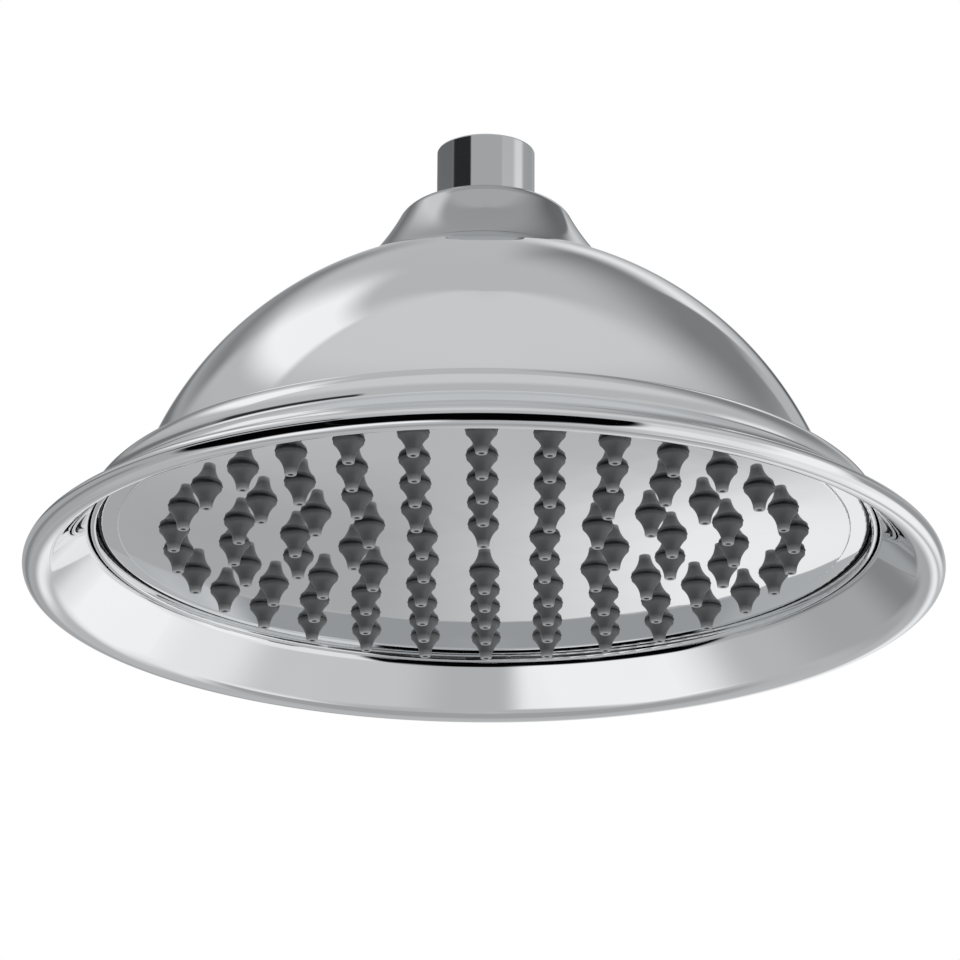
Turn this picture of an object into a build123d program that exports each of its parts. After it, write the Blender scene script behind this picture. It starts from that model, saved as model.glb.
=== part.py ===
from build123d import *
import math
import os

# A bell-shaped rain shower head, in millimetres, spray face down.
# The axis is Z, and the origin is the centre of the inlet's mouth, at the top.

# Play between round faces that fit one in the other
fit_gap = 0.1

# Inlet collar
thread_diameter = 20.955
thread_length = 14.8
relief_depth = 0.4
collar_wall = 2.0
collar_edge_round = 0.5

# Washer and filter under the inlet thread
washer_thickness = 2.0
washer_bore_radius = 7.0
screen_thickness = 1.2
screen_web = 0.5
screen_mesh_radius = 7.6
screen_hole_radius = 0.55
screen_hole_pitch = 1.9

# Feed tube
tube_radius = 9.0
waterway_radius = 6.0
hex_across_flats = 26.0
hex_thickness = 4.0

# Flow regulator in the top of the feed tube
regulator_wall = 1.4
regulator_height = 5.6
regulator_play = 0.4
regulator_rim = 1.1
regulator_base = 2.0
regulator_core_radius = 2.2
regulator_core_height = 2.6
regulator_ring_section = 1.8
regulator_hole_radius = 0.7
regulator_hole_count = 8

# Ring that seals the collar on the feed tube
collar_ring_section = 1.8
collar_ring_play = 0.2
collar_ring_land = 1.75

# Clamp at the top of the bell
clamp_radius = 14.0
clamp_washer_thickness = 1.5
shell_gasket_thickness = 1.5
crown_margin = 1.5

# Neck cap
cap_wall = 1.4
cap_height = 19.3
cap_foot_radius = 33.6
cap_shelf = 4.1
cap_round = 6.3
cap_flare = 66.7
cap_play = 0.25
cap_ring_section = 2.4

# Bell shell
bell_wall = 1.4
dome_rise = 66.0
shoulder_radius = 99.6
shoulder_round = 8.7
shoulder_ledge = 3.45
ledge_fillet = 1.6
crease_fillet = 0.7
flange_reach = 14.7
flange_drop = 10.9
lip_radius = 2.5
lip_roll_radius = 6.5
mouth_corner_round = 3.0

# Water chamber behind the faceplate
rim_gap = 0.4
rim_wall = 1.9
rim_proud = 1.7
rim_draft = 0.6
rim_round = 0.5
seat_gasket_thickness = 1.05
seat_gasket_margin = 0.4
shelf_roof = 1.2
cavity_lip = 1.5
cavity_edge = 1.6
roof_rise = 8.0
roof_wall = 2.4
rib_count = 8
rib_thickness = 2.0
rib_reach = 45.0
rib_below_hub_top = 3.0

# Hub that takes the feed tube
hub_wall = 3.0
hub_depth = 14.0
insert_wall = 2.6
hub_washer_thickness = 2.0

# Seal between the chamber and the faceplate
seal_section = 2.4
seal_play = 0.2
seal_land = 1.45

# Faceplate
face_radius = 1295.0
plate_thickness = 1.6
border_width = 4.0
border_step = 0.6
pad_round = 0.5
plate_edge_round = 0.4
gasket_gap = 0.7
gasket_recess = 0.5

# Screws that hold the faceplate from behind
screw_count = 8
screw_edge = 4.3
screw_head_radius = 1.9
screw_head_height = 0.9
screw_shank_radius = 1.0
screw_bite = 0.8
screw_tip_room = 0.3
screw_slot_width = 0.5
screw_slot_depth = 0.4
boss_radius = 2.6

# Silicone mat and its nozzles
mat_thickness = 1.5
mat_play = 0.1
mat_margin = 2.0
ring_count = 5
nozzles_per_step = 6
first_ring_radius = 17.5
nozzle_radius = 3.75
nozzle_collar = 1.0
nozzle_waist_radius = 2.3
nozzle_waist_drop = 3.2
nozzle_length = 5.95
nozzle_tip_radius = 1.6
nozzle_tip_length = 0.8
nozzle_orifice_radius = 0.6
hole_play = 0.15

# Radii that follow from the inlet thread and the feed tube
thread_radius = thread_diameter / 2
collar_radius = thread_radius + collar_wall
relief_radius = thread_radius + relief_depth
inlet_disc_radius = relief_radius - fit_gap
tube_socket_radius = tube_radius + fit_gap
pocket_radius = tube_radius - regulator_wall
regulator_radius = pocket_radius - fit_gap
insert_radius = tube_socket_radius + insert_wall
hub_bore_radius = insert_radius + fit_gap
hub_radius = hub_bore_radius + hub_wall

# Levels of the inlet, from its mouth down to the crown of the bell
screen_top = -thread_length - washer_thickness
tube_top = screen_top - screen_thickness
pocket_floor = tube_top - regulator_height - regulator_play
collar_groove_width = collar_ring_section + collar_ring_play
collar_groove_top = pocket_floor - collar_ring_land
collar_groove_bottom = collar_groove_top - collar_groove_width
collar_bottom = collar_groove_bottom - collar_ring_land
crown_top = collar_bottom - clamp_washer_thickness
crown_under = crown_top - bell_wall
hex_top = crown_under - shell_gasket_thickness

# The dome is a sphere through its foot circle, with its virtual top at the given rise
crown_radius = clamp_radius + crown_margin
shoulder_centre_radius = shoulder_radius - shoulder_round
dome_foot_radius = shoulder_centre_radius - shoulder_ledge
dome_radius = (dome_foot_radius**2 + dome_rise**2) / (2 * dome_rise)
dome_centre = crown_top - math.sqrt(dome_radius**2 - crown_radius**2)
dome_inner_radius = dome_radius - bell_wall

# Levels of the bell below its dome
ledge_top = dome_centre + dome_radius - dome_rise
ledge_under = ledge_top - bell_wall
crease_level = ledge_top - shoulder_round
lip_centre = crease_level - flange_drop
mouth_wall_radius = shoulder_radius - bell_wall
mouth_corner_level = crease_level - bell_wall
lip_centre_radius = shoulder_radius + flange_reach - lip_radius

# Radii of the chamber and the faceplate, from the bell's wall inwards
rim_outer_radius = mouth_wall_radius - rim_gap
rim_inner_radius = rim_outer_radius - rim_wall
plate_radius = rim_inner_radius - gasket_gap
pad_radius = plate_radius - border_width
screw_circle = plate_radius - screw_edge
seal_groove_outer = screw_circle - boss_radius - seal_land
seal_groove_inner = seal_groove_outer - seal_section - seal_play
seal_circle = (seal_groove_outer + seal_groove_inner) / 2
mat_radius = seal_groove_inner - seal_land
cavity_radius = mat_radius - cavity_lip
outer_ring_radius = mat_radius - nozzle_radius - mat_margin
ring_pitch = (outer_ring_radius - first_ring_radius) / (ring_count - 1)


def face_sag(radius):
    """Height of the domed spray face above its lowest point."""
    return face_radius - math.sqrt(face_radius**2 - radius**2)


# Levels of the chamber and the faceplate, from the bell's ledge down
shelf_top = ledge_under - seat_gasket_thickness
socket_roof = shelf_top - shelf_roof
shelf_bottom = socket_roof - seal_section
mat_edge_top = face_sag(mat_radius) + plate_thickness + mat_thickness
face_bottom = shelf_bottom - mat_play - mat_edge_top
border_level = face_bottom + face_sag(pad_radius) + border_step
rim_bottom = border_level - rim_proud
face_centre = face_bottom + face_radius
roof_edge = shelf_bottom + cavity_edge
roof_top = roof_edge + roof_rise
hub_floor = roof_top + roof_wall
hub_top = hub_floor + hub_depth
tube_bottom = hub_floor + hub_washer_thickness


def turned(*edges):
    """Solid turned about the axis from a closed outline of radii and levels."""
    return revolve(Plane.XZ * make_face(edges), axis=Axis.Z)


def turned_rounded(edges, corners):
    """Turned solid whose outline is rounded at the given corners, each with its radius."""
    outline = make_face(edges)
    for corner, radius in corners:
        outline = fillet(outline.vertices().sort_by_distance(corner)[0], radius)
    return revolve(Plane.XZ * outline, axis=Axis.Z)


def closed(*points):
    """Straight edges of a closed outline."""
    return Polyline(*points, close=True).edges()


def ring(inner, outer, bottom, top):
    """Flat ring between two radii and two levels."""
    corners = closed((inner, bottom), (outer, bottom), (outer, top), (inner, top))
    return turned(*corners)


def rod(radius, bottom, top):
    """Round rod on the axis."""
    return Pos(0, 0, bottom) * Cylinder(radius, top - bottom, align=(Align.CENTER, Align.CENTER, Align.MIN))


def round_ring(circle, section, level):
    """Ring of round section."""
    return Pos(0, 0, level) * Torus(circle, section / 2)


def arc_about(centre, start, end):
    """Arc from start to end, the short way round its centre."""
    radius = (Vector(*start) - Vector(*centre)).length
    middle = Vector(*start) + Vector(*end) - Vector(*centre) * 2
    return ThreePointArc(start, Vector(*centre) + middle.normalized() * radius, end)


def circles_meet(centre_a, radius_a, centre_b, radius_b):
    """The outer of the two points where two circles cross."""
    a, b = Vector(*centre_a), Vector(*centre_b)
    gap = (b - a).length
    along = (radius_a**2 - radius_b**2 + gap**2) / (2 * gap)
    across = math.sqrt(radius_a**2 - along**2)
    heading = (b - a).normalized()
    sideways = Vector(-heading.Y, heading.X)
    points = [a + heading * along + sideways * across, a + heading * along - sideways * across]
    return max(points, key=lambda point: point.X)


def line_touches(start, centre, radius, side):
    """Point where a line from start touches a circle, passing above it (1) or below it (-1)."""
    gap = Vector(*centre) - Vector(*start)
    heading = math.atan2(gap.Y, gap.X) + side * math.asin(radius / gap.length)
    along = math.sqrt(gap.length**2 - radius**2)
    return Vector(*start) + Vector(math.cos(heading), math.sin(heading)) * along


def inlet_collar():
    """Sleeve with the inlet thread above and the feed tube's socket below."""
    mouth_corner = (collar_radius, 0)
    edges = closed(
        mouth_corner,
        (thread_radius, 0),
        (thread_radius, -thread_length),
        (relief_radius, -thread_length),
        (relief_radius, tube_top),
        (tube_socket_radius, tube_top),
        (tube_socket_radius, collar_bottom),
        (collar_radius, collar_bottom),
    )
    return turned_rounded(edges, [(mouth_corner, collar_edge_round)])


def inlet_washer():
    return ring(washer_bore_radius, inlet_disc_radius, screen_top, -thread_length)


def filter_screen():
    """Disc with a thick rim and a thin web full of holes."""
    rim = ring(screen_mesh_radius, inlet_disc_radius, tube_top, screen_top)
    web = rod(screen_mesh_radius, tube_top, tube_top + screen_web)
    rows = int(screen_mesh_radius / screen_hole_pitch)
    hole_reach = screen_mesh_radius - 2 * screen_hole_radius
    hole = rod(screen_hole_radius, tube_top - screen_web, screen_top)
    holes = []
    for row in range(-rows, rows + 1):
        for column in range(-rows, rows + 1):
            x, y = column * screen_hole_pitch, row * screen_hole_pitch
            if math.hypot(x, y) < hole_reach:
                holes.append(Pos(x, y, 0) * hole)
    return rim + (web - holes)


def flow_regulator():
    """Cup with a core for its rubber ring and a circle of holes under the ring."""
    top = pocket_floor + regulator_height
    base_top = pocket_floor + regulator_base
    cup = ring(regulator_radius - regulator_rim, regulator_radius, pocket_floor, top)
    base = rod(regulator_radius, pocket_floor, base_top)
    core = rod(regulator_core_radius, base_top, base_top + regulator_core_height)
    hole = rod(regulator_hole_radius, pocket_floor - regulator_base, base_top + regulator_base)
    holes = PolarLocations(regulator_ring_circle(), regulator_hole_count) * hole
    return cup + core + (base - holes)


def regulator_ring_circle():
    """Radius of the circle on which the regulator's rubber ring lies."""
    return regulator_core_radius + fit_gap + regulator_ring_section / 2


def regulator_o_ring():
    level = pocket_floor + regulator_base + regulator_ring_section / 2
    return round_ring(regulator_ring_circle(), regulator_ring_section, level)


def feed_tube():
    """Tube with the regulator's pocket at the top and a hexagon that carries the bell."""
    tube = rod(tube_radius, tube_bottom, tube_top)
    hexagon = extrude(RegularPolygon(hex_across_flats / 2, 6, major_radius=False), -hex_thickness)
    waterway = rod(waterway_radius, tube_bottom, tube_top)
    pocket = rod(pocket_radius, pocket_floor, tube_top)
    groove_floor = tube_socket_radius - collar_ring_section
    groove = ring(groove_floor, tube_socket_radius, collar_groove_bottom, collar_groove_top)
    return tube + Pos(0, 0, hex_top) * hexagon - waterway - pocket - groove


def collar_o_ring():
    level = (collar_groove_top + collar_groove_bottom) / 2
    return round_ring(tube_socket_radius - collar_ring_section / 2, collar_ring_section, level)


def clamp_washer():
    return ring(tube_socket_radius, clamp_radius, crown_top, collar_bottom)


def shell_gasket():
    return ring(tube_socket_radius, clamp_radius, hex_top, crown_under)


def dome_level(radius, sphere_radius):
    """Level of a sphere about the dome's centre, at a radius from the axis."""
    return dome_centre + math.sqrt(sphere_radius**2 - radius**2)


cap_seat_radius = dome_radius + fit_gap
cap_foot_level = dome_level(cap_foot_radius, cap_seat_radius)
cap_top = cap_foot_level + cap_height
cap_under = cap_top - cap_wall


def neck_cap():
    """Ogee cap: a flat top, a rounded edge and a hollow flare that ends on the dome."""
    dome = (0, dome_centre)
    hole_radius = collar_radius + cap_play
    edge_radius = collar_radius + cap_shelf
    edge_centre = (edge_radius, cap_top - cap_round)
    foot = (cap_foot_radius, cap_foot_level)
    flare_centre = circles_meet(edge_centre, cap_round + cap_flare, foot, cap_flare)
    towards_flare = (flare_centre - Vector(*edge_centre)).normalized()
    turn_outside = Vector(*edge_centre) + towards_flare * cap_round
    turn_inside = Vector(*edge_centre) + towards_flare * (cap_round - cap_wall)
    inner_foot = foot_inside(flare_centre, cap_flare + cap_wall)
    return turned(
        Line((hole_radius, cap_top), (edge_radius, cap_top)),
        arc_about(edge_centre, (edge_radius, cap_top), turn_outside),
        arc_about(flare_centre, turn_outside, foot),
        arc_about(dome, foot, inner_foot),
        arc_about(flare_centre, inner_foot, turn_inside),
        arc_about(edge_centre, turn_inside, (edge_radius, cap_under)),
        Line((edge_radius, cap_under), (hole_radius, cap_under)),
        Line((hole_radius, cap_under), (hole_radius, cap_top)),
    )


def foot_inside(flare_centre, flare_radius):
    """Where the inner face of the cap's flare comes down on the dome."""
    to_dome = Vector(0, dome_centre) - flare_centre
    along = (flare_radius**2 - cap_seat_radius**2 + to_dome.length**2) / (2 * to_dome.length)
    across = math.sqrt(flare_radius**2 - along**2)
    heading = to_dome.normalized()
    upwards = Vector(-heading.Y, heading.X)
    return flare_centre + heading * along - upwards * across


def cap_o_ring():
    level = cap_under - cap_ring_section / 2
    return round_ring(collar_radius + cap_ring_section / 2, cap_ring_section, level)


def bell_shell():
    """Spun bell: dome, ledge, rounded shoulder, and a flared flange that rolls into a rounded lip."""
    dome = (0, dome_centre)
    shoulder = (shoulder_centre_radius, crease_level)
    lip = (lip_centre_radius, lip_centre)
    crease = (shoulder_radius, crease_level)
    mouth_corner = (mouth_wall_radius, mouth_corner_level)
    mouth_wall_top = (mouth_wall_radius, crease_level)
    lip_top = line_touches(crease, lip, lip_radius, 1)
    lip_edge = (lip_centre_radius + lip_radius, lip_centre)
    lip_bottom = (lip_centre_radius, lip_centre - lip_radius)
    roll = (lip_centre_radius, lip_centre - lip_radius + lip_roll_radius)
    roll_end = line_touches(mouth_corner, roll, lip_roll_radius, -1)
    crown_edge = (crown_radius, crown_top)
    crown_inner_edge = (math.sqrt(dome_inner_radius**2 - (crown_under - dome_centre) ** 2), crown_under)
    dome_foot = (dome_foot_radius, ledge_top)
    dome_inner_foot = (dome_inner_foot_radius(), ledge_under)
    ledge_end = (shoulder_centre_radius, ledge_top)
    ledge_inner_end = (shoulder_centre_radius, ledge_under)
    edges = [
        Line((tube_socket_radius, crown_top), crown_edge),
        arc_about(dome, crown_edge, dome_foot),
        Line(dome_foot, ledge_end),
        arc_about(shoulder, ledge_end, crease),
        Line(crease, lip_top),
        ThreePointArc(lip_top, lip_edge, lip_bottom),
        arc_about(roll, lip_bottom, roll_end),
        Line(roll_end, mouth_corner),
        Line(mouth_corner, mouth_wall_top),
        arc_about(shoulder, mouth_wall_top, ledge_inner_end),
        Line(ledge_inner_end, dome_inner_foot),
        arc_about(dome, dome_inner_foot, crown_inner_edge),
        Line(crown_inner_edge, (tube_socket_radius, crown_under)),
        Line((tube_socket_radius, crown_under), (tube_socket_radius, crown_top)),
    ]
    corners = [(dome_foot, ledge_fillet), (crease, crease_fillet), (mouth_corner, mouth_corner_round)]
    return turned_rounded(edges, corners)


def dome_inner_foot_radius():
    """Radius at which the inside of the dome meets the underside of the ledge."""
    return math.sqrt(dome_inner_radius**2 - (ledge_under - dome_centre) ** 2)


def seat_gasket():
    inner = dome_inner_foot_radius() + seat_gasket_margin
    return ring(inner, shoulder_centre_radius, shelf_top, ledge_under)


def chamber_back():
    """Moulded dish: rim, shelf with the seal's groove, ribbed roof and hub."""
    corner_round = mouth_wall_radius - shoulder_centre_radius - rim_gap
    corner_reach = math.sqrt(corner_round**2 - (shelf_top - crease_level) ** 2)
    shelf_corner = (shoulder_centre_radius + corner_reach, shelf_top)
    shoulder = (shoulder_centre_radius, crease_level)
    rim_side = (rim_outer_radius, crease_level)
    rim_foot = (rim_outer_radius, rim_bottom)
    rim_inner_foot = (rim_inner_radius + rim_draft, rim_bottom)
    straight = Polyline(
        shelf_corner,
        (cavity_radius, shelf_top),
        (cavity_radius, roof_edge + roof_wall),
        (hub_radius, roof_top + roof_wall),
        (hub_radius, hub_top),
        (hub_bore_radius, hub_top),
        (hub_bore_radius, hub_floor),
        (waterway_radius, hub_floor),
        (waterway_radius, roof_top),
        (cavity_radius, roof_edge),
        (cavity_radius, shelf_bottom),
        (seal_groove_inner, shelf_bottom),
        (seal_groove_inner, socket_roof),
        (seal_groove_outer, socket_roof),
        (seal_groove_outer, shelf_bottom),
        (rim_inner_radius, shelf_bottom),
        rim_inner_foot,
        rim_foot,
        rim_side,
    ).edges()
    edges = [*straight, arc_about(shoulder, rim_side, shelf_corner)]
    dish = turned_rounded(edges, [(rim_foot, rim_round), (rim_inner_foot, rim_round)])
    ribs = PolarLocations(0, rib_count) * chamber_rib()
    socket = rod(boss_radius + fit_gap, shelf_bottom, socket_roof)
    screw_hole = screw_form(fit_gap, socket_roof)
    holes = PolarLocations(screw_circle, screw_count) * (socket + screw_hole)
    return dish + ribs - holes


def chamber_rib():
    """Gusset between the hub's side and the chamber's roof."""
    root = hub_radius - hub_wall / 2
    slope = roof_rise / (cavity_radius - waterway_radius)
    reach_level = roof_top + roof_wall - slope * (rib_reach - waterway_radius)
    gusset = make_face(
        closed(
            (root, roof_top),
            (root, hub_top - rib_below_hub_top),
            (rib_reach, reach_level),
            (rib_reach, reach_level - roof_wall / 2),
        )
    )
    return extrude(Plane.XZ * gusset, rib_thickness / 2, both=True)


def hub_insert():
    return ring(tube_socket_radius, insert_radius, hub_floor, hub_top)


def hub_washer():
    return ring(waterway_radius, tube_radius, hub_floor, tube_bottom)


def chamber_seal():
    return round_ring(seal_circle, seal_section, shelf_bottom + seal_section / 2)


def screw_form(play, bottom):
    """Countersunk screw on the axis, with its head flush with the chamber's shelf."""
    head_bottom = shelf_top - screw_head_height
    edges = closed(
        (0, shelf_top),
        (screw_head_radius + play, shelf_top),
        (screw_shank_radius + play, head_bottom),
        (screw_shank_radius + play, bottom),
        (0, bottom),
    )
    return turned(*edges)


screw_bottom = shelf_bottom - screw_bite


def faceplate_screws():
    slot_length = 2 * screw_head_radius
    slot = Pos(0, 0, shelf_top) * Box(slot_length, screw_slot_width, 2 * screw_slot_depth)
    screw = screw_form(0, screw_bottom) - slot
    return Compound(children=list(PolarLocations(screw_circle, screw_count) * screw))


def edge_gasket():
    inner = plate_radius + fit_gap
    outer = rim_inner_radius - fit_gap
    return ring(inner, outer, border_level + gasket_recess, shelf_bottom)


def nozzle_places():
    """Centres of all nozzles, in rings that start at the front."""
    places = []
    for step in range(ring_count):
        ring_radius = first_ring_radius + step * ring_pitch
        count = nozzles_per_step * (step + 1)
        for turn in range(count):
            angle = 2 * math.pi * turn / count - math.pi / 2
            places.append((ring_radius * math.cos(angle), ring_radius * math.sin(angle)))
    return places


def faceplate():
    """Domed plate with a stepped border, nozzle holes and screw bosses behind."""
    centre = (0, face_centre)
    recess_radius = mat_radius + fit_gap
    back_radius = face_radius - plate_thickness
    pad_corner = (pad_radius, face_bottom + face_sag(pad_radius))
    edge_corner = (plate_radius, border_level)
    recess_corner = (recess_radius, face_centre - math.sqrt(back_radius**2 - recess_radius**2))
    back_middle = (0, face_centre - back_radius)
    edges = [
        arc_about(centre, (0, face_bottom), pad_corner),
        Line(pad_corner, (pad_radius, border_level)),
        Line((pad_radius, border_level), edge_corner),
        Line(edge_corner, (plate_radius, shelf_bottom)),
        Line((plate_radius, shelf_bottom), (recess_radius, shelf_bottom)),
        Line((recess_radius, shelf_bottom), recess_corner),
        arc_about(centre, recess_corner, back_middle),
        Line(back_middle, (0, face_bottom)),
    ]
    plate = turned_rounded(edges, [(pad_corner, pad_round), (edge_corner, plate_edge_round)])
    boss = rod(boss_radius, shelf_bottom, socket_roof)
    tapped_hole = rod(screw_shank_radius + fit_gap, screw_bottom - screw_tip_room, socket_roof)
    bosses = PolarLocations(screw_circle, screw_count) * boss
    tapped_holes = PolarLocations(screw_circle, screw_count) * tapped_hole
    nozzle_hole = rod(nozzle_radius + hole_play, face_bottom - plate_thickness, shelf_bottom)
    nozzle_holes = [Pos(x, y, 0) * nozzle_hole for x, y in nozzle_places()]
    return plate + bosses - tapped_holes - nozzle_holes


def nozzle_mat():
    """Silicone sheet behind the faceplate with a nozzle through each hole."""
    centre = (0, face_centre)
    under_radius = face_radius - plate_thickness
    over_radius = under_radius - mat_thickness
    under_edge = (mat_radius, face_centre - math.sqrt(under_radius**2 - mat_radius**2))
    over_edge = (mat_radius, face_centre - math.sqrt(over_radius**2 - mat_radius**2))
    under_middle = (0, face_centre - under_radius)
    over_middle = (0, face_centre - over_radius)
    sheet = turned(
        arc_about(centre, under_middle, under_edge),
        Line(under_edge, over_edge),
        arc_about(centre, over_edge, over_middle),
        Line(over_middle, under_middle),
    )
    nozzle = nozzle_form()
    orifice = rod(nozzle_orifice_radius, -nozzle_length, plate_thickness + 2 * mat_thickness)
    nozzles = []
    orifices = []
    for x, y in nozzle_places():
        place = Pos(x, y, face_bottom + face_sag(math.hypot(x, y)))
        nozzles.append(place * nozzle)
        orifices.append(place * orifice)
    return sheet + nozzles - orifices


def nozzle_form():
    """One nozzle, with the level of the spray face at zero."""
    root = plate_thickness + mat_thickness / 2
    edges = closed(
        (0, root),
        (nozzle_radius, root),
        (nozzle_radius, -nozzle_collar),
        (nozzle_waist_radius, -nozzle_waist_drop),
        (nozzle_tip_radius, nozzle_tip_length - nozzle_length),
        (nozzle_tip_radius, -nozzle_length),
        (0, -nozzle_length),
    )
    return turned(*edges)


pieces = [
    inlet_collar,
    inlet_washer,
    filter_screen,
    flow_regulator,
    regulator_o_ring,
    neck_cap,
    cap_o_ring,
    clamp_washer,
    bell_shell,
    shell_gasket,
    feed_tube,
    collar_o_ring,
    hub_insert,
    hub_washer,
    chamber_back,
    seat_gasket,
    chamber_seal,
    edge_gasket,
    faceplate,
    faceplate_screws,
    nozzle_mat,
]

os.makedirs("parts", exist_ok=True)
for piece in pieces:
    export_step(piece(), f"parts/{piece.__name__}.step")
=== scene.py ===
import math

import bpy
import numpy as np
from mathutils import Matrix, Vector


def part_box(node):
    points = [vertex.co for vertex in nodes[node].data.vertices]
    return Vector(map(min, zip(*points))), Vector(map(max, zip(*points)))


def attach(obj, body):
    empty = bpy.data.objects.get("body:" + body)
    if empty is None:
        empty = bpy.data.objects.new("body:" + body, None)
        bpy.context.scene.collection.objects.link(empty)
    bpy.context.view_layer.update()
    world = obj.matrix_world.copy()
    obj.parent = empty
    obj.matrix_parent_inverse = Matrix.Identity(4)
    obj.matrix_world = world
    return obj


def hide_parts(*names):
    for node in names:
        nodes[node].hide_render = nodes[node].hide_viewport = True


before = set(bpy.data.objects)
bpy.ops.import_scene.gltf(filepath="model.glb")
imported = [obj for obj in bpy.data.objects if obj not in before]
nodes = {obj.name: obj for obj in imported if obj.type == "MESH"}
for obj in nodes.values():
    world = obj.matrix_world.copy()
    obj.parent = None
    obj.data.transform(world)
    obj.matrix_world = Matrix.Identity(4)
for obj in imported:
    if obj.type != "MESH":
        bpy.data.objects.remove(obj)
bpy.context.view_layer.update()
scene = bpy.context.scene
scene.view_settings.view_transform = "Standard"
MM = 0.001

# Sizes of the turned pieces in millimetres, the same as in the solids
thread_radius = 10.4775
thread_length = 14.8
thread_pitch = 1.814
thread_height = 1.1
relief_radius = 10.8775
tube_top = -18.0
socket_radius = 9.1
collar_bottom = -29.5
collar_radius = 12.4775
collar_edge_round = 0.5
crown_top = -31.0
crown_radius = 15.5
bell_wall = 1.4
dome_rise = 66.0
shoulder_radius = 99.6
shoulder_round = 8.7
shoulder_ledge = 3.45
ledge_fillet = 1.6
crease_fillet = 0.7
flange_reach = 14.7
flange_drop = 10.9
lip_radius = 2.5
lip_roll_radius = 6.5
mouth_corner_round = 3.0
cap_wall = 1.4
cap_height = 19.3
cap_foot_radius = 33.6
cap_shelf = 4.1
cap_round = 6.3
cap_flare = 66.7
cap_play = 0.25
fit_gap = 0.1
shoulder_centre_radius = shoulder_radius - shoulder_round
dome_foot_radius = shoulder_centre_radius - shoulder_ledge
dome_radius = (dome_foot_radius**2 + dome_rise**2) / (2 * dome_rise)
dome_centre = crown_top - math.sqrt(dome_radius**2 - crown_radius**2)
dome_inner_radius = dome_radius - bell_wall
ledge_top = dome_centre + dome_radius - dome_rise
ledge_under = ledge_top - bell_wall
crease_level = ledge_top - shoulder_round
lip_centre = crease_level - flange_drop
mouth_wall_radius = shoulder_radius - bell_wall
mouth_corner_level = crease_level - bell_wall
lip_centre_radius = shoulder_radius + flange_reach - lip_radius


# Outlines: runs of points, each with its outward normal, taken with the material on the left
def line(start, end, steps=1):
    start, end = Vector(start), Vector(end)
    along = (end - start).normalized()
    normal = Vector((along.y, -along.x))
    return [(start.lerp(end, i / steps), normal) for i in range(steps + 1)]


def arc(centre, start, end, step_deg=4.0):
    centre, start, end = Vector(centre), Vector(start), Vector(end)
    radius = (start - centre).length
    first = math.atan2(start.y - centre.y, start.x - centre.x)
    swing = math.atan2(end.y - centre.y, end.x - centre.x) - first
    swing = (swing + math.pi) % (2 * math.pi) - math.pi
    steps = max(2, math.ceil(abs(math.degrees(swing)) / step_deg))
    side = 1 if swing > 0 else -1
    run = []
    for i in range(steps + 1):
        angle = first + swing * i / steps
        outward = Vector((math.cos(angle), math.sin(angle)))
        run.append((centre + outward * radius, outward * side))
    return run


def circle(segments):
    """Cosine and sine of each step of a full turn."""
    angles = [2 * math.pi * k / segments for k in range(segments)]
    return [(math.cos(angle), math.sin(angle)) for angle in angles]


def new_piece(name, points, faces, look):
    """Mesh object on the one body, from points in millimetres."""
    mesh = bpy.data.meshes.new(name)
    mesh.from_pydata([Vector(p) * MM for p in points], [], faces)
    mesh.materials.append(look)
    piece = bpy.data.objects.new(name, mesh)
    scene.collection.objects.link(piece)
    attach(piece, "root")
    return piece


def shade_smooth(mesh):
    for polygon in mesh.polygons:
        polygon.use_smooth = True


def turned_piece(name, runs, segments, look):
    """Closed outline made of runs, turned about the axis, with the outline's own normals."""
    turns = circle(segments)
    rings = [point for run in runs for point, _ in run[:-1]]
    points = [(ring.x * c, ring.x * s, ring.y) for ring in rings for c, s in turns]
    faces, normals = [], []
    row = 0
    for run in runs:
        for (_, low), (_, high) in zip(run, run[1:]):
            below = row * segments
            above = (row + 1) % len(rings) * segments
            for k in range(segments):
                j = (k + 1) % segments
                faces.append((below + k, below + j, above + j, above + k))
                for n, (c, s) in ((low, turns[k]), (low, turns[j]), (high, turns[j]), (high, turns[k])):
                    normals.append((n.x * c, n.x * s, n.y))
            row += 1
    piece = new_piece(name, points, faces, look)
    shade_smooth(piece.data)
    piece.data.normals_split_custom_set(normals)
    return piece


# Materials
def material(name):
    made = bpy.data.materials.new(name)
    made.use_nodes = True
    return made, made.node_tree, made.node_tree.nodes["Principled BSDF"]


def noise(tree, scale, detail=3.0):
    """Noise fixed to the object, with scale per metre."""
    place = tree.nodes.new("ShaderNodeTexCoord")
    texture = tree.nodes.new("ShaderNodeTexNoise")
    texture.inputs["Scale"].default_value = scale
    texture.inputs["Detail"].default_value = detail
    tree.links.new(place.outputs["Object"], texture.inputs["Vector"])
    return texture.outputs["Fac"]


def spread(tree, source, low, high, target, start=0.3, end=0.7):
    """Feeds a value to a socket, stretched so that it runs from low to high."""
    change = tree.nodes.new("ShaderNodeMapRange")
    change.inputs["From Min"].default_value = start
    change.inputs["From Max"].default_value = end
    change.inputs["To Min"].default_value = low
    change.inputs["To Max"].default_value = high
    tree.links.new(source, change.inputs["Value"])
    tree.links.new(change.outputs["Result"], target)


def ramp(tree, source, colours, target):
    """Colours by position along a value."""
    node = tree.nodes.new("ShaderNodeValToRGB")
    elements = node.color_ramp.elements
    while len(elements) < len(colours):
        elements.new(0.5)
    for element, (position, colour) in zip(elements, colours):
        element.position = position
        element.color = (*colour, 1.0)
    tree.links.new(source, node.inputs["Fac"])
    tree.links.new(node.outputs["Color"], target)


def bump(tree, shader, source, strength, distance):
    node = tree.nodes.new("ShaderNodeBump")
    node.inputs["Strength"].default_value = strength
    node.inputs["Distance"].default_value = distance
    tree.links.new(source, node.inputs["Height"])
    tree.links.new(node.outputs["Normal"], shader.inputs["Normal"])


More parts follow.
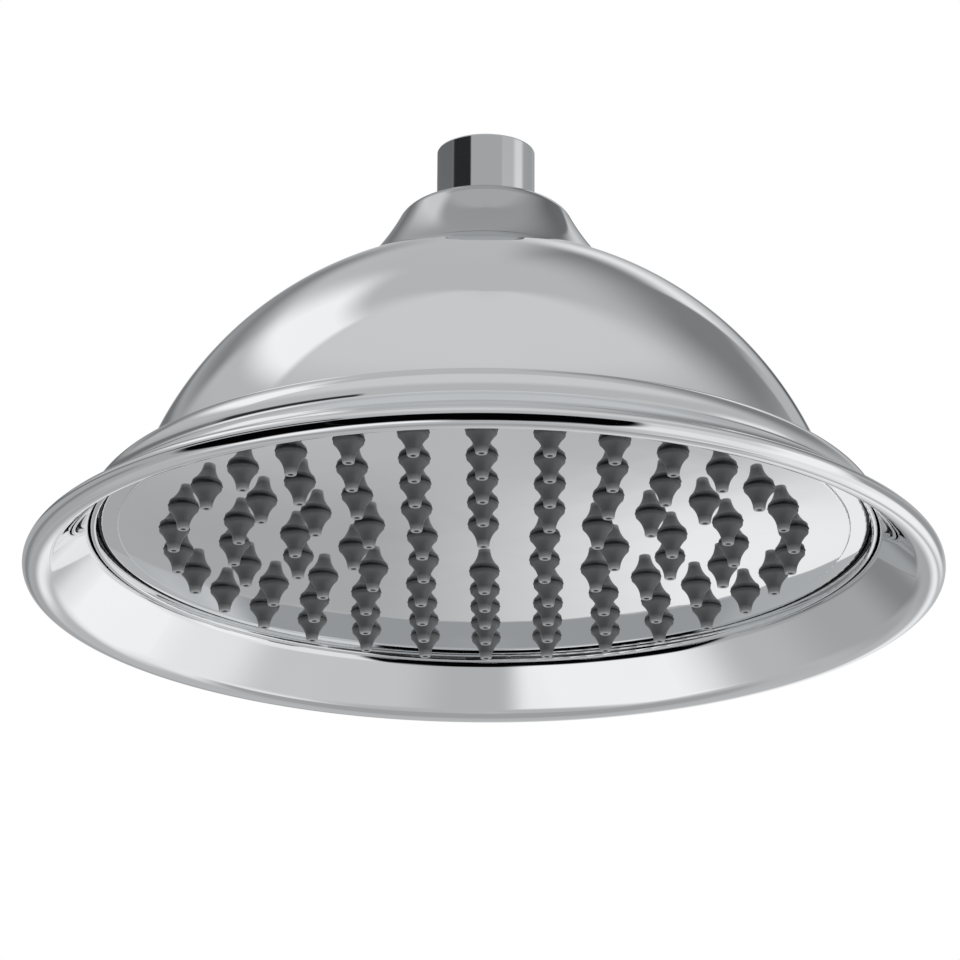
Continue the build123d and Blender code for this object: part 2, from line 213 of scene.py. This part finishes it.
def chrome(name, tint, rough_low, rough_high):
    """Polished plating: small clouds of haze and a trace of polishing unevenness."""
    made, tree, shader = material(name)
    shader.inputs["Metallic"].default_value = 1.0
    spread(tree, noise(tree, scale=55.0, detail=5.0), rough_low, rough_high, shader.inputs["Roughness"])
    dulling = 0.97
    darker = tuple(value * dulling for value in tint)
    clouds = noise(tree, scale=18.0, detail=2.0)
    ramp(tree, clouds, [(0.35, darker), (0.65, tint)], shader.inputs["Base Color"])
    bump(tree, shader, noise(tree, scale=300.0, detail=2.0), strength=0.012, distance=0.0002)
    return made


def satin(name, colours, rough_low, rough_high, metallic=0.0, scale=400.0, relief=0.15):
    """Plain moulded, rubber or turned surface with fine grain."""
    made, tree, shader = material(name)
    shader.inputs["Metallic"].default_value = metallic
    low, high = colours
    blotch_scale = scale * 0.4
    grain_scale = scale * 3.0
    ramp(tree, noise(tree, blotch_scale), [(0.35, low), (0.65, high)], shader.inputs["Base Color"])
    spread(tree, noise(tree, scale), rough_low, rough_high, shader.inputs["Roughness"])
    bump(tree, shader, noise(tree, grain_scale), strength=relief, distance=0.0001)
    return made


bell_chrome = chrome("bell_plating", (0.86, 0.87, 0.88), 0.02, 0.05)
# The cap's chrome is the bell's plating made darker: painted shade for its dimmer reflections.
cap_chrome_painted_shade = chrome("cap_plating_painted_shade", (0.54, 0.55, 0.56), 0.03, 0.07)
# The collar's chrome, also used for its thread ridge, is the bell's plating made darker: painted shade for
# its dimmer reflections.
collar_chrome_painted_shade = chrome("collar_plating_painted_shade", (0.68, 0.69, 0.70), 0.03, 0.07)
face_chrome = chrome("face_plating", (0.87, 0.88, 0.89), 0.015, 0.035)
rim_plating = chrome("rim_plating_look", (0.80, 0.81, 0.82), 0.03, 0.06)
# The edge gasket's rubber is darker than the other rubber: partly its own black, partly painted shade in the
# gap at the faceplate's edge.
edge_rubber_painted_shade = satin("edge_rubber_painted_shade_look", [(0.006, 0.006, 0.007), (0.012, 0.012, 0.013)], 0.5, 0.7)
black_rubber = satin("washer_rubber", [(0.018, 0.018, 0.018), (0.03, 0.03, 0.03)], 0.55, 0.75)
screen_steel = satin("screen_steel_look", [(0.50, 0.50, 0.49), (0.62, 0.62, 0.61)], 0.25, 0.4, metallic=1.0)
washer_steel = satin("washer_steel_look", [(0.52, 0.52, 0.52), (0.60, 0.60, 0.60)], 0.25, 0.4, metallic=1.0)
tube_brass = satin("turned_brass", [(0.60, 0.42, 0.18), (0.72, 0.53, 0.26)], 0.22, 0.36, metallic=1.0)
white_moulding = satin("white_moulding_look", [(0.78, 0.78, 0.76), (0.85, 0.85, 0.83)], 0.4, 0.55)


def silicone():
    """Dark silicone with a soft sheen; painted shade where a nozzle meets the spray face, and painted light
    where the tips are thin.
    """
    made, tree, shader = material("nozzle_silicone_look")
    shade = tree.nodes.new("ShaderNodeAttribute")
    shade.attribute_name = "tip"
    painted_gap_shade, body, painted_tip_light = (0.012, 0.012, 0.013), (0.076, 0.079, 0.085), (0.27, 0.275, 0.285)
    # Near-black at the nozzle root is painted shade for the gap at the spray face; the pale tips are painted
    # light through the thin silicone.
    colours = [(0.03, painted_gap_shade), (0.08, body), (0.72, body), (1.0, painted_tip_light)]
    ramp(tree, shade.outputs["Fac"], colours, shader.inputs["Base Color"])
    rough_low, rough_high = 0.38, 0.52
    spread(tree, noise(tree, scale=700.0), rough_low, rough_high, shader.inputs["Roughness"])
    bump(tree, shader, noise(tree, scale=2500.0), strength=0.08, distance=0.0001)
    shader.inputs["Sheen Weight"].default_value = 0.15
    shader.inputs["Sheen Roughness"].default_value = 0.4
    return made


nozzle_silicone = silicone()

looks = {
    "inlet_washer": black_rubber,
    "filter_screen": screen_steel,
    "flow_regulator": white_moulding,
    "regulator_o_ring": black_rubber,
    "cap_o_ring": black_rubber,
    "clamp_washer": washer_steel,
    "shell_gasket": black_rubber,
    "feed_tube": tube_brass,
    "collar_o_ring": black_rubber,
    "hub_insert": tube_brass,
    "hub_washer": black_rubber,
    "chamber_back": rim_plating,
    "seat_gasket": black_rubber,
    "chamber_seal": black_rubber,
    "edge_gasket": edge_rubber_painted_shade,
    "faceplate": face_chrome,
    "faceplate_screws": washer_steel,
}
for node, look in looks.items():
    for place in nodes[node].material_slots:
        place.material = look


# Bell shell: finely turned, so that its mirror finish shows no facets
def circle_touch(start, centre, radius, side):
    """Point where a line from start touches a circle, on its left (1) or right (-1)."""
    gap = Vector(centre) - Vector(start)
    heading = math.atan2(gap.y, gap.x) + side * math.asin(radius / gap.length)
    along = math.sqrt(gap.length**2 - radius**2)
    return Vector(start) + Vector((math.cos(heading), math.sin(heading))) * along


def bell_runs():
    dome = Vector((0, dome_centre))
    shoulder = Vector((shoulder_centre_radius, crease_level))
    lip = Vector((lip_centre_radius, lip_centre))
    crease = Vector((shoulder_radius, crease_level))
    corner = Vector((mouth_wall_radius, mouth_corner_level))
    lip_top = circle_touch(crease, lip, lip_radius, 1)
    roll = lip + Vector((0, lip_roll_radius - lip_radius))
    roll_end = circle_touch(corner, roll, lip_roll_radius, -1)
    lip_bottom = lip - Vector((0, lip_radius))
    # hollow fillet between the dome and the ledge
    fillet_level = ledge_top + ledge_fillet
    reach = dome_radius + ledge_fillet
    foot_centre = Vector((math.sqrt(reach**2 - (fillet_level - dome_centre) ** 2), fillet_level))
    dome_end = dome + (foot_centre - dome) * (dome_radius / reach)
    ledge_start = Vector((foot_centre.x, ledge_top))
    # hollow fillet between the shoulder and the flange
    slope = (lip_top - crease).normalized()
    upward = Vector((-slope.y, slope.x))
    base = crease + upward * crease_fillet - shoulder
    reach = shoulder_round + crease_fillet
    along = -base.dot(slope) + math.sqrt(base.dot(slope) ** 2 - base.length_squared + reach**2)
    crease_centre = shoulder + base + slope * along
    shoulder_end = shoulder + (crease_centre - shoulder) * (shoulder_round / reach)
    flange_start = crease_centre - upward * crease_fillet
    # rounded corner inside the mouth
    under = (roll_end - corner).normalized()
    wall = Vector((0, 1))
    half = math.acos(under.dot(wall)) / 2
    back_off = mouth_corner_round / math.tan(half)
    under_end = corner + under * back_off
    wall_start = corner + wall * back_off
    corner_centre = corner + (under + wall).normalized() * (mouth_corner_round / math.sin(half))
    inner_foot_radius = math.sqrt(dome_inner_radius**2 - (ledge_under - dome_centre) ** 2)
    inner_crown_level = crown_top - bell_wall
    inner_crown_radius = math.sqrt(dome_inner_radius**2 - (inner_crown_level - dome_centre) ** 2)
    lip_edge = Vector((lip_centre_radius + lip_radius, lip_centre))
    return [
        line((socket_radius, inner_crown_level), (inner_crown_radius, inner_crown_level)),
        arc(dome, (inner_crown_radius, inner_crown_level), (inner_foot_radius, ledge_under)),
        line((inner_foot_radius, ledge_under), (shoulder_centre_radius, ledge_under)),
        arc(shoulder, (shoulder_centre_radius, ledge_under), (mouth_wall_radius, crease_level)),
        line((mouth_wall_radius, crease_level), wall_start),
        arc(corner_centre, wall_start, under_end),
        line(under_end, roll_end, steps=6),
        arc(roll, roll_end, lip_bottom, step_deg=2.0),
        arc(lip, lip_bottom, lip_edge),
        arc(lip, lip_edge, lip_top),
        line(lip_top, flange_start, steps=6),
        arc(crease_centre, flange_start, shoulder_end, step_deg=8.0),
        arc(shoulder, shoulder_end, (shoulder_centre_radius, ledge_top), step_deg=3.0),
        line((shoulder_centre_radius, ledge_top), ledge_start),
        arc(foot_centre, ledge_start, dome_end, step_deg=8.0),
        arc(dome, dome_end, (crown_radius, crown_top), step_deg=2.0),
        line((crown_radius, crown_top), (socket_radius, crown_top)),
        line((socket_radius, crown_top), (socket_radius, inner_crown_level)),
    ]


bell = turned_piece("bell_shell_polished", bell_runs(), segments=448, look=bell_chrome)
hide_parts("bell_shell")


# Neck cap
def cap_runs():
    dome = Vector((0, dome_centre))
    seat = dome_radius + fit_gap
    foot = Vector((cap_foot_radius, dome_centre + math.sqrt(seat**2 - cap_foot_radius**2)))
    top = foot.y + cap_height
    under = top - cap_wall
    hole = collar_radius + cap_play
    edge = collar_radius + cap_shelf
    edge_centre = Vector((edge, top - cap_round))

    def cross(centre_a, radius_a, centre_b, radius_b):
        """Both points where two circles cross."""
        gap = centre_b - centre_a
        along = (radius_a**2 - radius_b**2 + gap.length_squared) / (2 * gap.length)
        across = math.sqrt(radius_a**2 - along**2)
        heading = gap.normalized()
        sideways = Vector((-heading.y, heading.x))
        middle = centre_a + heading * along
        return middle + sideways * across, middle - sideways * across

    flare_centre = max(cross(edge_centre, cap_round + cap_flare, foot, cap_flare), key=lambda p: p.x)
    towards = (flare_centre - edge_centre).normalized()
    turn_outside = edge_centre + towards * cap_round
    turn_inside = edge_centre + towards * (cap_round - cap_wall)
    inner_foot = min(cross(flare_centre, cap_flare + cap_wall, dome, seat), key=lambda p: (p - foot).length)
    return [
        line((hole, under), (edge, under)),
        arc(edge_centre, (edge, under), turn_inside),
        arc(flare_centre, turn_inside, inner_foot),
        arc(dome, inner_foot, foot),
        arc(flare_centre, foot, turn_outside, step_deg=1.0),
        arc(edge_centre, turn_outside, (edge, top), step_deg=3.0),
        line((edge, top), (hole, top)),
        line((hole, top), (hole, under)),
    ]


cap = turned_piece("neck_cap_polished", cap_runs(), segments=320, look=cap_chrome_painted_shade)
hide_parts("neck_cap")


# Inlet collar, with the ridge of its thread
def collar_runs():
    flat_radius = collar_radius - collar_edge_round
    edge_centre = Vector((flat_radius, -collar_edge_round))
    return [
        line((thread_radius, 0), (thread_radius, -thread_length)),
        line((thread_radius, -thread_length), (relief_radius, -thread_length)),
        line((relief_radius, -thread_length), (relief_radius, tube_top)),
        line((relief_radius, tube_top), (socket_radius, tube_top)),
        line((socket_radius, tube_top), (socket_radius, collar_bottom)),
        line((socket_radius, collar_bottom), (collar_radius, collar_bottom)),
        line((collar_radius, collar_bottom), (collar_radius, -collar_edge_round)),
        arc(edge_centre, (collar_radius, -collar_edge_round), (flat_radius, 0), step_deg=10.0),
        line((flat_radius, 0), (thread_radius, 0)),
    ]


collar = turned_piece(
    "inlet_collar_polished", collar_runs(), segments=256, look=collar_chrome_painted_shade
)
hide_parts("inlet_collar")


def thread_ridge():
    """Right-hand helical ridge that runs out at both ends, with its root just inside the wall."""
    per_turn = 72
    run_out = per_turn * 0.6
    root_radius = thread_radius + 0.05
    run_out_radius = thread_radius + 0.02
    half_root = thread_pitch * 0.46
    half_crest = thread_pitch * 0.1
    corners = 4
    turns = (thread_length - 2 * thread_pitch) / thread_pitch
    count = int(turns * per_turn)
    points, faces = [], []
    for i in range(count + 1):
        angle = 2 * math.pi * i / per_turn
        c, s = math.cos(angle), math.sin(angle)
        fade = min(1.0, i / run_out, (count - i) / run_out)
        tip = run_out_radius - thread_height * fade
        level = -thread_length + thread_pitch + thread_pitch * i / per_turn
        section = ((root_radius, -half_root), (tip, -half_crest), (tip, half_crest), (root_radius, half_root))
        points.extend((radius * c, radius * s, level + rise) for radius, rise in section)
    for i in range(count):
        a, b = corners * i, corners * (i + 1)
        for k in range(corners):
            j = (k + 1) % corners
            faces.append((a + k, a + j, b + j, b + k))
    last = corners * count
    faces.append((3, 2, 1, 0))
    faces.append((last, last + 1, last + 2, last + 3))
    new_piece("inlet_thread_ridge", points, faces, collar_chrome_painted_shade)


thread_ridge()

# Silicone mat with its nozzles
face_radius = 1295.0
plate_thickness = 1.6
mat_thickness = 1.5
ring_count = 5
first_ring_radius = 17.5
outer_ring_radius = 77.05
nozzle_radius = 3.75
nozzle_length = 5.95
nozzles_per_step = 6
mat_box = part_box("nozzle_mat")
plate_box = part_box("faceplate")
mat_radius = mat_box[1][0] / MM
face_bottom = plate_box[0][2] / MM


def face_level(radius):
    """Level of the domed spray face at a radius."""
    return face_bottom + face_radius - math.sqrt(face_radius**2 - radius**2)


def nozzle_places():
    pitch = (outer_ring_radius - first_ring_radius) / (ring_count - 1)
    places = []
    for step in range(ring_count):
        radius = first_ring_radius + step * pitch
        count = nozzles_per_step * (step + 1)
        for turn in range(count):
            angle = 2 * math.pi * turn / count - math.pi / 2
            places.append((radius * math.cos(angle), radius * math.sin(angle), face_level(radius)))
    return places


def nozzle_outline():
    """Radius and height of one nozzle from the orifice up to its root, with the spray face at zero."""
    return [
        (0.0, -4.6),
        (0.5, -4.6),
        (0.58, -5.7),
        (0.75, -5.9),
        (1.05, -nozzle_length),
        (1.3, -5.9),
        (1.45, -5.74),
        (1.51, -5.45),
        (1.56, -5.0),
        (1.65, -4.5),
        (1.79, -4.0),
        (2.0, -3.4),
        (2.32, -2.75),
        (2.74, -2.1),
        (3.16, -1.55),
        (3.48, -1.25),
        (3.68, -1.0),
        (nozzle_radius, -0.7),
        (nozzle_radius, -0.35),
        (nozzle_radius, 0.0),
        (nozzle_radius, 0.4),
        (nozzle_radius, 1.7),
    ]


def nozzle_mat():
    """Mat and nozzles; the tip value runs from 0 at the spray face to 1 at a nozzle's end."""
    segments = 32
    orifice_reach = 0.6
    orifice_tip = 0.3
    sharp_edge = math.radians(50)
    points, faces, tips = [], [], []
    outline = nozzle_outline()
    turns = circle(segments)
    for x, y, level in nozzle_places():
        start = len(points)
        points.append((x, y, level + outline[0][1]))
        tips.append(0.0)
        for radius, height in outline[1:]:
            points.extend((x + radius * c, y + radius * s, level + height) for c, s in turns)
            tip = max(0.0, min(1.0, -height / nozzle_length)) if radius > orifice_reach else orifice_tip
            tips.extend([tip] * segments)
        for k in range(segments):
            j = (k + 1) % segments
            faces.append((start, start + 1 + k, start + 1 + j))
            for i in range(len(outline) - 2):
                low, high = start + 1 + i * segments, start + 1 + (i + 1) * segments
                faces.append((low + k, high + k, high + j, low + j))
    # the sheet behind the faceplate, on the same dome
    around = 96
    bands = [0.2, 0.4, 0.6, 0.8, 1.0]
    turns = circle(around)
    layers = []
    for rise in (plate_thickness, plate_thickness + mat_thickness):
        centre = len(points)
        points.append((0.0, 0.0, face_level(0) + rise))
        tips.append(0.0)
        for band in bands:
            radius = mat_radius * band
            points.extend((radius * c, radius * s, face_level(radius) + rise) for c, s in turns)
            tips.extend([0.0] * around)
        layers.append(centre)
    for layer, centre in enumerate(layers):
        for k in range(around):
            j = (k + 1) % around
            first = (centre, centre + 1 + j, centre + 1 + k)
            faces.append(first if layer == 0 else first[::-1])
            for i in range(len(bands) - 1):
                low, high = centre + 1 + i * around, centre + 1 + (i + 1) * around
                quad = (low + k, low + j, high + j, high + k)
                faces.append(quad if layer == 0 else quad[::-1])
    rim = [centre + 1 + (len(bands) - 1) * around for centre in layers]
    for k in range(around):
        j = (k + 1) % around
        faces.append((rim[0] + k, rim[0] + j, rim[1] + j, rim[1] + k))
    piece = new_piece("nozzle_mat_moulded", points, faces, nozzle_silicone)
    shade_smooth(piece.data)
    piece.data.set_sharp_from_angle(angle=sharp_edge)
    shade = piece.data.attributes.new("tip", "FLOAT", "POINT")
    shade.data.foreach_set("value", tips)
    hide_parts("nozzle_mat")


nozzle_mat()


# Camera, at the photograph's angle
def place_camera():
    """Angles in radians; the distances are counted in units of the camera fit."""
    elevation, roll, yaw = 0.3532516, 0.0055, 0.0101
    unit = 15.415 * MM
    distance, across, up_shift = 78.2775 * unit, -0.0615 * unit, 1.3339 * unit
    base = Vector((0, 0, -111.3 * MM))
    sensor_width = 36.0
    focal_pixels = 4852.82
    image_pixels = 960.0
    view = Vector((0, math.cos(elevation), math.sin(elevation)))
    right = Vector((1, 0, 0))
    up = right.cross(view)
    c, s = math.cos(roll), math.sin(roll)
    right, up = right * c + up * s, up * c - right * s
    spot = base - view * distance + right * across + up * up_shift
    data = bpy.data.cameras.new("photo_camera")
    data.sensor_fit = "HORIZONTAL"
    data.sensor_width = sensor_width
    data.lens = sensor_width * focal_pixels / image_pixels
    data.clip_end = 100.0
    camera = bpy.data.objects.new("photo_camera", data)
    turn = Matrix((right, up, -view)).transposed().to_4x4()
    camera.matrix_world = Matrix.Rotation(yaw, 4, "Z") @ Matrix.Translation(spot) @ turn
    scene.collection.objects.link(camera)
    scene.camera = camera


place_camera()


# Studio: white background, and cards that only the mirror surfaces see
def background(tree, strength):
    node = tree.nodes.new("ShaderNodeBackground")
    node.inputs["Color"].default_value = (1.0, 1.0, 1.0, 1.0)
    node.inputs["Strength"].default_value = strength
    return node


def studio_world():
    """White for camera, glossy and transmission rays, and a plain level of light for the rest."""
    world = bpy.data.worlds.new("studio")
    scene.world = world
    world.use_nodes = True
    tree = world.node_tree
    tree.nodes.clear()
    path = tree.nodes.new("ShaderNodeLightPath")
    seen = tree.nodes.new("ShaderNodeMath")
    seen.operation = "MAXIMUM"
    also = tree.nodes.new("ShaderNodeMath")
    also.operation = "MAXIMUM"
    tree.links.new(path.outputs["Is Camera Ray"], seen.inputs[0])
    tree.links.new(path.outputs["Is Glossy Ray"], seen.inputs[1])
    tree.links.new(seen.outputs[0], also.inputs[0])
    tree.links.new(path.outputs["Is Transmission Ray"], also.inputs[1])
    plain = background(tree, strength=0.75)
    white = background(tree, strength=1.0)
    mix = tree.nodes.new("ShaderNodeMixShader")
    out = tree.nodes.new("ShaderNodeOutputWorld")
    tree.links.new(also.outputs[0], mix.inputs[0])
    tree.links.new(plain.outputs[0], mix.inputs[1])
    tree.links.new(white.outputs[0], mix.inputs[2])
    tree.links.new(mix.outputs[0], out.inputs["Surface"])


studio_world()


def smooth(low, high, value):
    """Soft step from 0 at low to 1 at high."""
    share = np.clip((value - low) / (high - low), 0.0, 1.0)
    return share * share * (3 - 2 * share)


def patch(azimuth, elevation, az_range, el_range, soft):
    """Share of a card that covers a direction; soft has the half widths of its side and level edges."""
    inside = smooth(az_range[0] - soft[0], az_range[0] + soft[0], azimuth)
    inside *= 1 - smooth(az_range[1] - soft[1], az_range[1] + soft[1], azimuth)
    inside *= smooth(el_range[0] - soft[2], el_range[0] + soft[2], elevation)
    inside *= 1 - smooth(el_range[1] - soft[2], el_range[1] + soft[2], elevation)
    return inside


# Cards: azimuth, elevation, brightness and soft edges (left, right, level), all angles in degrees.
# Each card is laid over those before it.
# Azimuth 0 is behind the object, 90 its left, 180 the camera's side and 270 its right.
STUDIO_GREY = 0.52
CARDS = [
    ((82, 275), (50, 92), 0.66, (16, 16, 8)),
    ((292, 352), (30, 62), 0.22, (20, 6, 12)),
    ((40, 90), (48, 66), 1.0, (16, 3, 4)),
    ((8, 42), (25, 44), 0.22, (6, 6, 6)),
    ((14, 104), (-36, 34), 0.42, (8, 3, 7)),
    ((14, 90), (-16, -2), 0.26, (10, 8, 6)),
    ((12, 100), (23, 30), 0.18, (5, 10, 2)),
    ((98, 145), (21.5, 31), 0.030, (4, 2, 1.5)),
    ((104, 145), (-52, 14), 0.001, (3, 2, 3)),
    ((143, 217), (-58, 18), 0.001, (2, 2, 3)),
    ((219, 338), (-52, -4), 0.86, (2, 6, 6)),
    ((219, 278), (-8, 25), 0.72, (2, 6, 6)),
    ((278, 330), (-6, 22), 0.34, (6, 6, 6)),
    ((252, 276), (-30, 28), 1.0, (7, 7, 8)),
    ((294, 330), (-42, -12), 1.0, (10, 6, 6)),
    ((76, 166), (-91, -50), 1.0, (16, 9, 6)),
    ((170, 212), (-91, -60), 0.49, (9, 12, 4)),
    ((208, 282), (-91, -50), 0.62, (16, 16, 6)),
    ((282, 342), (-91, -40), 0.90, (16, 10, 8)),
    ((-30, 76), (-91, -42), 0.50, (14, 16, 6)),
    ((-200, 200), (-91, -70), 0.50, (1, 1, 6)),
    ((-58, 58), (-86, -54), 0.39, (6, 6, 4)),
    ((325, 356), (22, 38), 0.48, (1.5, 6, 4)),
    ((334, 356), (37, 47), 0.85, (1.5, 6, 5)),
    ((342, 355), (23, 30), 0.04, (4, 4, 4)),
]


def studio_brightness(azimuth, elevation):
    """Grey studio; the low part behind the object, which the spray face mirrors, is lighter to the right."""
    white = 1.0
    value = np.full(azimuth.shape, STUDIO_GREY)
    around = np.where(azimuth < 180, azimuth, azimuth - 360)
    for az_range, el_range, brightness, soft in CARDS:
        side = azimuth if az_range[0] >= 0 else around
        value += (brightness - value) * patch(side, elevation, az_range, el_range, soft)
    middle, slope, darkest, lightest = 0.62, 0.07, 0.42, 0.92
    low_back = np.clip(middle - slope * around, darkest, lightest)
    value += (low_back - value) * patch(around, elevation, (-13, 13), (-24, 4), (6, 6, 4))
    value += (white - value) * patch(around, elevation, (-9, 9), (6, 26), (6, 5, 5))
    return value


def glow_material(name):
    made = bpy.data.materials.new(name)
    made.use_nodes = True
    tree = made.node_tree
    tree.nodes.clear()
    shade = tree.nodes.new("ShaderNodeAttribute")
    shade.attribute_name = "brightness"
    glow = tree.nodes.new("ShaderNodeEmission")
    out = tree.nodes.new("ShaderNodeOutputMaterial")
    tree.links.new(shade.outputs["Color"], glow.inputs["Color"])
    tree.links.new(glow.outputs[0], out.inputs["Surface"])
    made.cycles.emission_sampling = "NONE"
    return made


def only_reflected(obj):
    """Stage piece that only mirror surfaces see."""
    obj.visible_camera = False
    obj.visible_diffuse = False
    obj.visible_transmission = False
    obj.visible_volume_scatter = False
    obj.visible_shadow = False


def surround():
    """Round shell of cards about the object, seen only in reflections, with openings to the white world."""
    distance = 4.0
    middle_level = -0.08
    open_level = 0.97
    coolness = 0.03
    columns, rows = 440, 220
    turn, rise = np.linspace(0, 360, columns + 1), np.linspace(-90, 90, rows + 1)
    azimuth, elevation = np.meshgrid(turn, rise)
    a, e = np.radians(azimuth), np.radians(elevation)
    points = np.stack([-np.sin(a) * np.cos(e), np.cos(a) * np.cos(e), np.sin(e)], -1) * distance
    values = studio_brightness(azimuth, elevation)
    row, column = np.meshgrid(np.arange(rows), np.arange(columns), indexing="ij")
    start = row * (columns + 1) + column
    corners = np.stack([start, start + 1, start + columns + 2, start + columns + 1], -1).reshape(-1, 4)
    corners = corners[values.ravel()[corners].min(-1) < open_level]
    mesh = bpy.data.meshes.new("studio_cards")
    mesh.from_pydata(points.reshape(-1, 3).tolist(), [], corners.tolist())
    shade = mesh.attributes.new("brightness", "FLOAT_COLOR", "POINT")
    cool = coolness * (1 - values)
    colours = np.stack([values * (1 - cool), values, values * (1 + cool), np.ones(values.shape)], -1)
    shade.data.foreach_set("color", colours.astype(np.float32).ravel())
    mesh.materials.append(glow_material("card_glow"))
    obj = bpy.data.objects.new("studio_cards", mesh)
    obj.location = (0, 0, middle_level)
    scene.collection.objects.link(obj)
    only_reflected(obj)


surround()


def area_light(name, spot, target, size, power):
    data = bpy.data.lights.new(name, "AREA")
    data.shape = "RECTANGLE"
    data.size, data.size_y = size
    data.energy = power
    lamp = bpy.data.objects.new(name, data)
    heading = Vector(target) - Vector(spot)
    lamp.matrix_world = Matrix.Translation(spot) @ heading.to_track_quat("-Z", "Y").to_matrix().to_4x4()
    lamp.visible_glossy = False
    lamp.visible_camera = False
    scene.collection.objects.link(lamp)


lamp_target = (0, 0, -0.1)
area_light("left_soft_box", (-1.3, -0.9, 0.2), lamp_target, size=(0.9, 0.9), power=14.0)
area_light("right_soft_box", (1.4, -0.5, -0.2), lamp_target, size=(0.8, 0.8), power=10.0)


def studio_floor():
    reach = 8.0
    level = -2.0
    made, tree, shader = material("studio_floor_paper")
    shades = [(0.3, (0.88, 0.88, 0.88)), (0.7, (0.90, 0.90, 0.90))]
    ramp(tree, noise(tree, scale=3.0), shades, shader.inputs["Base Color"])
    shader.inputs["Roughness"].default_value = 0.8
    shader.inputs["Emission Color"].default_value = (1.0, 1.0, 1.0, 1.0)
    shader.inputs["Emission Strength"].default_value = 0.25
    mesh = bpy.data.meshes.new("studio_floor")
    corners = [(x * reach, y * reach, level) for x, y in ((-1, -1), (1, -1), (1, 1), (-1, 1))]
    mesh.from_pydata(corners, [], [(0, 1, 2, 3)])
    mesh.materials.append(made)
    floor = bpy.data.objects.new("studio_floor", mesh)
    floor.visible_glossy = False
    scene.collection.objects.link(floor)


studio_floor()
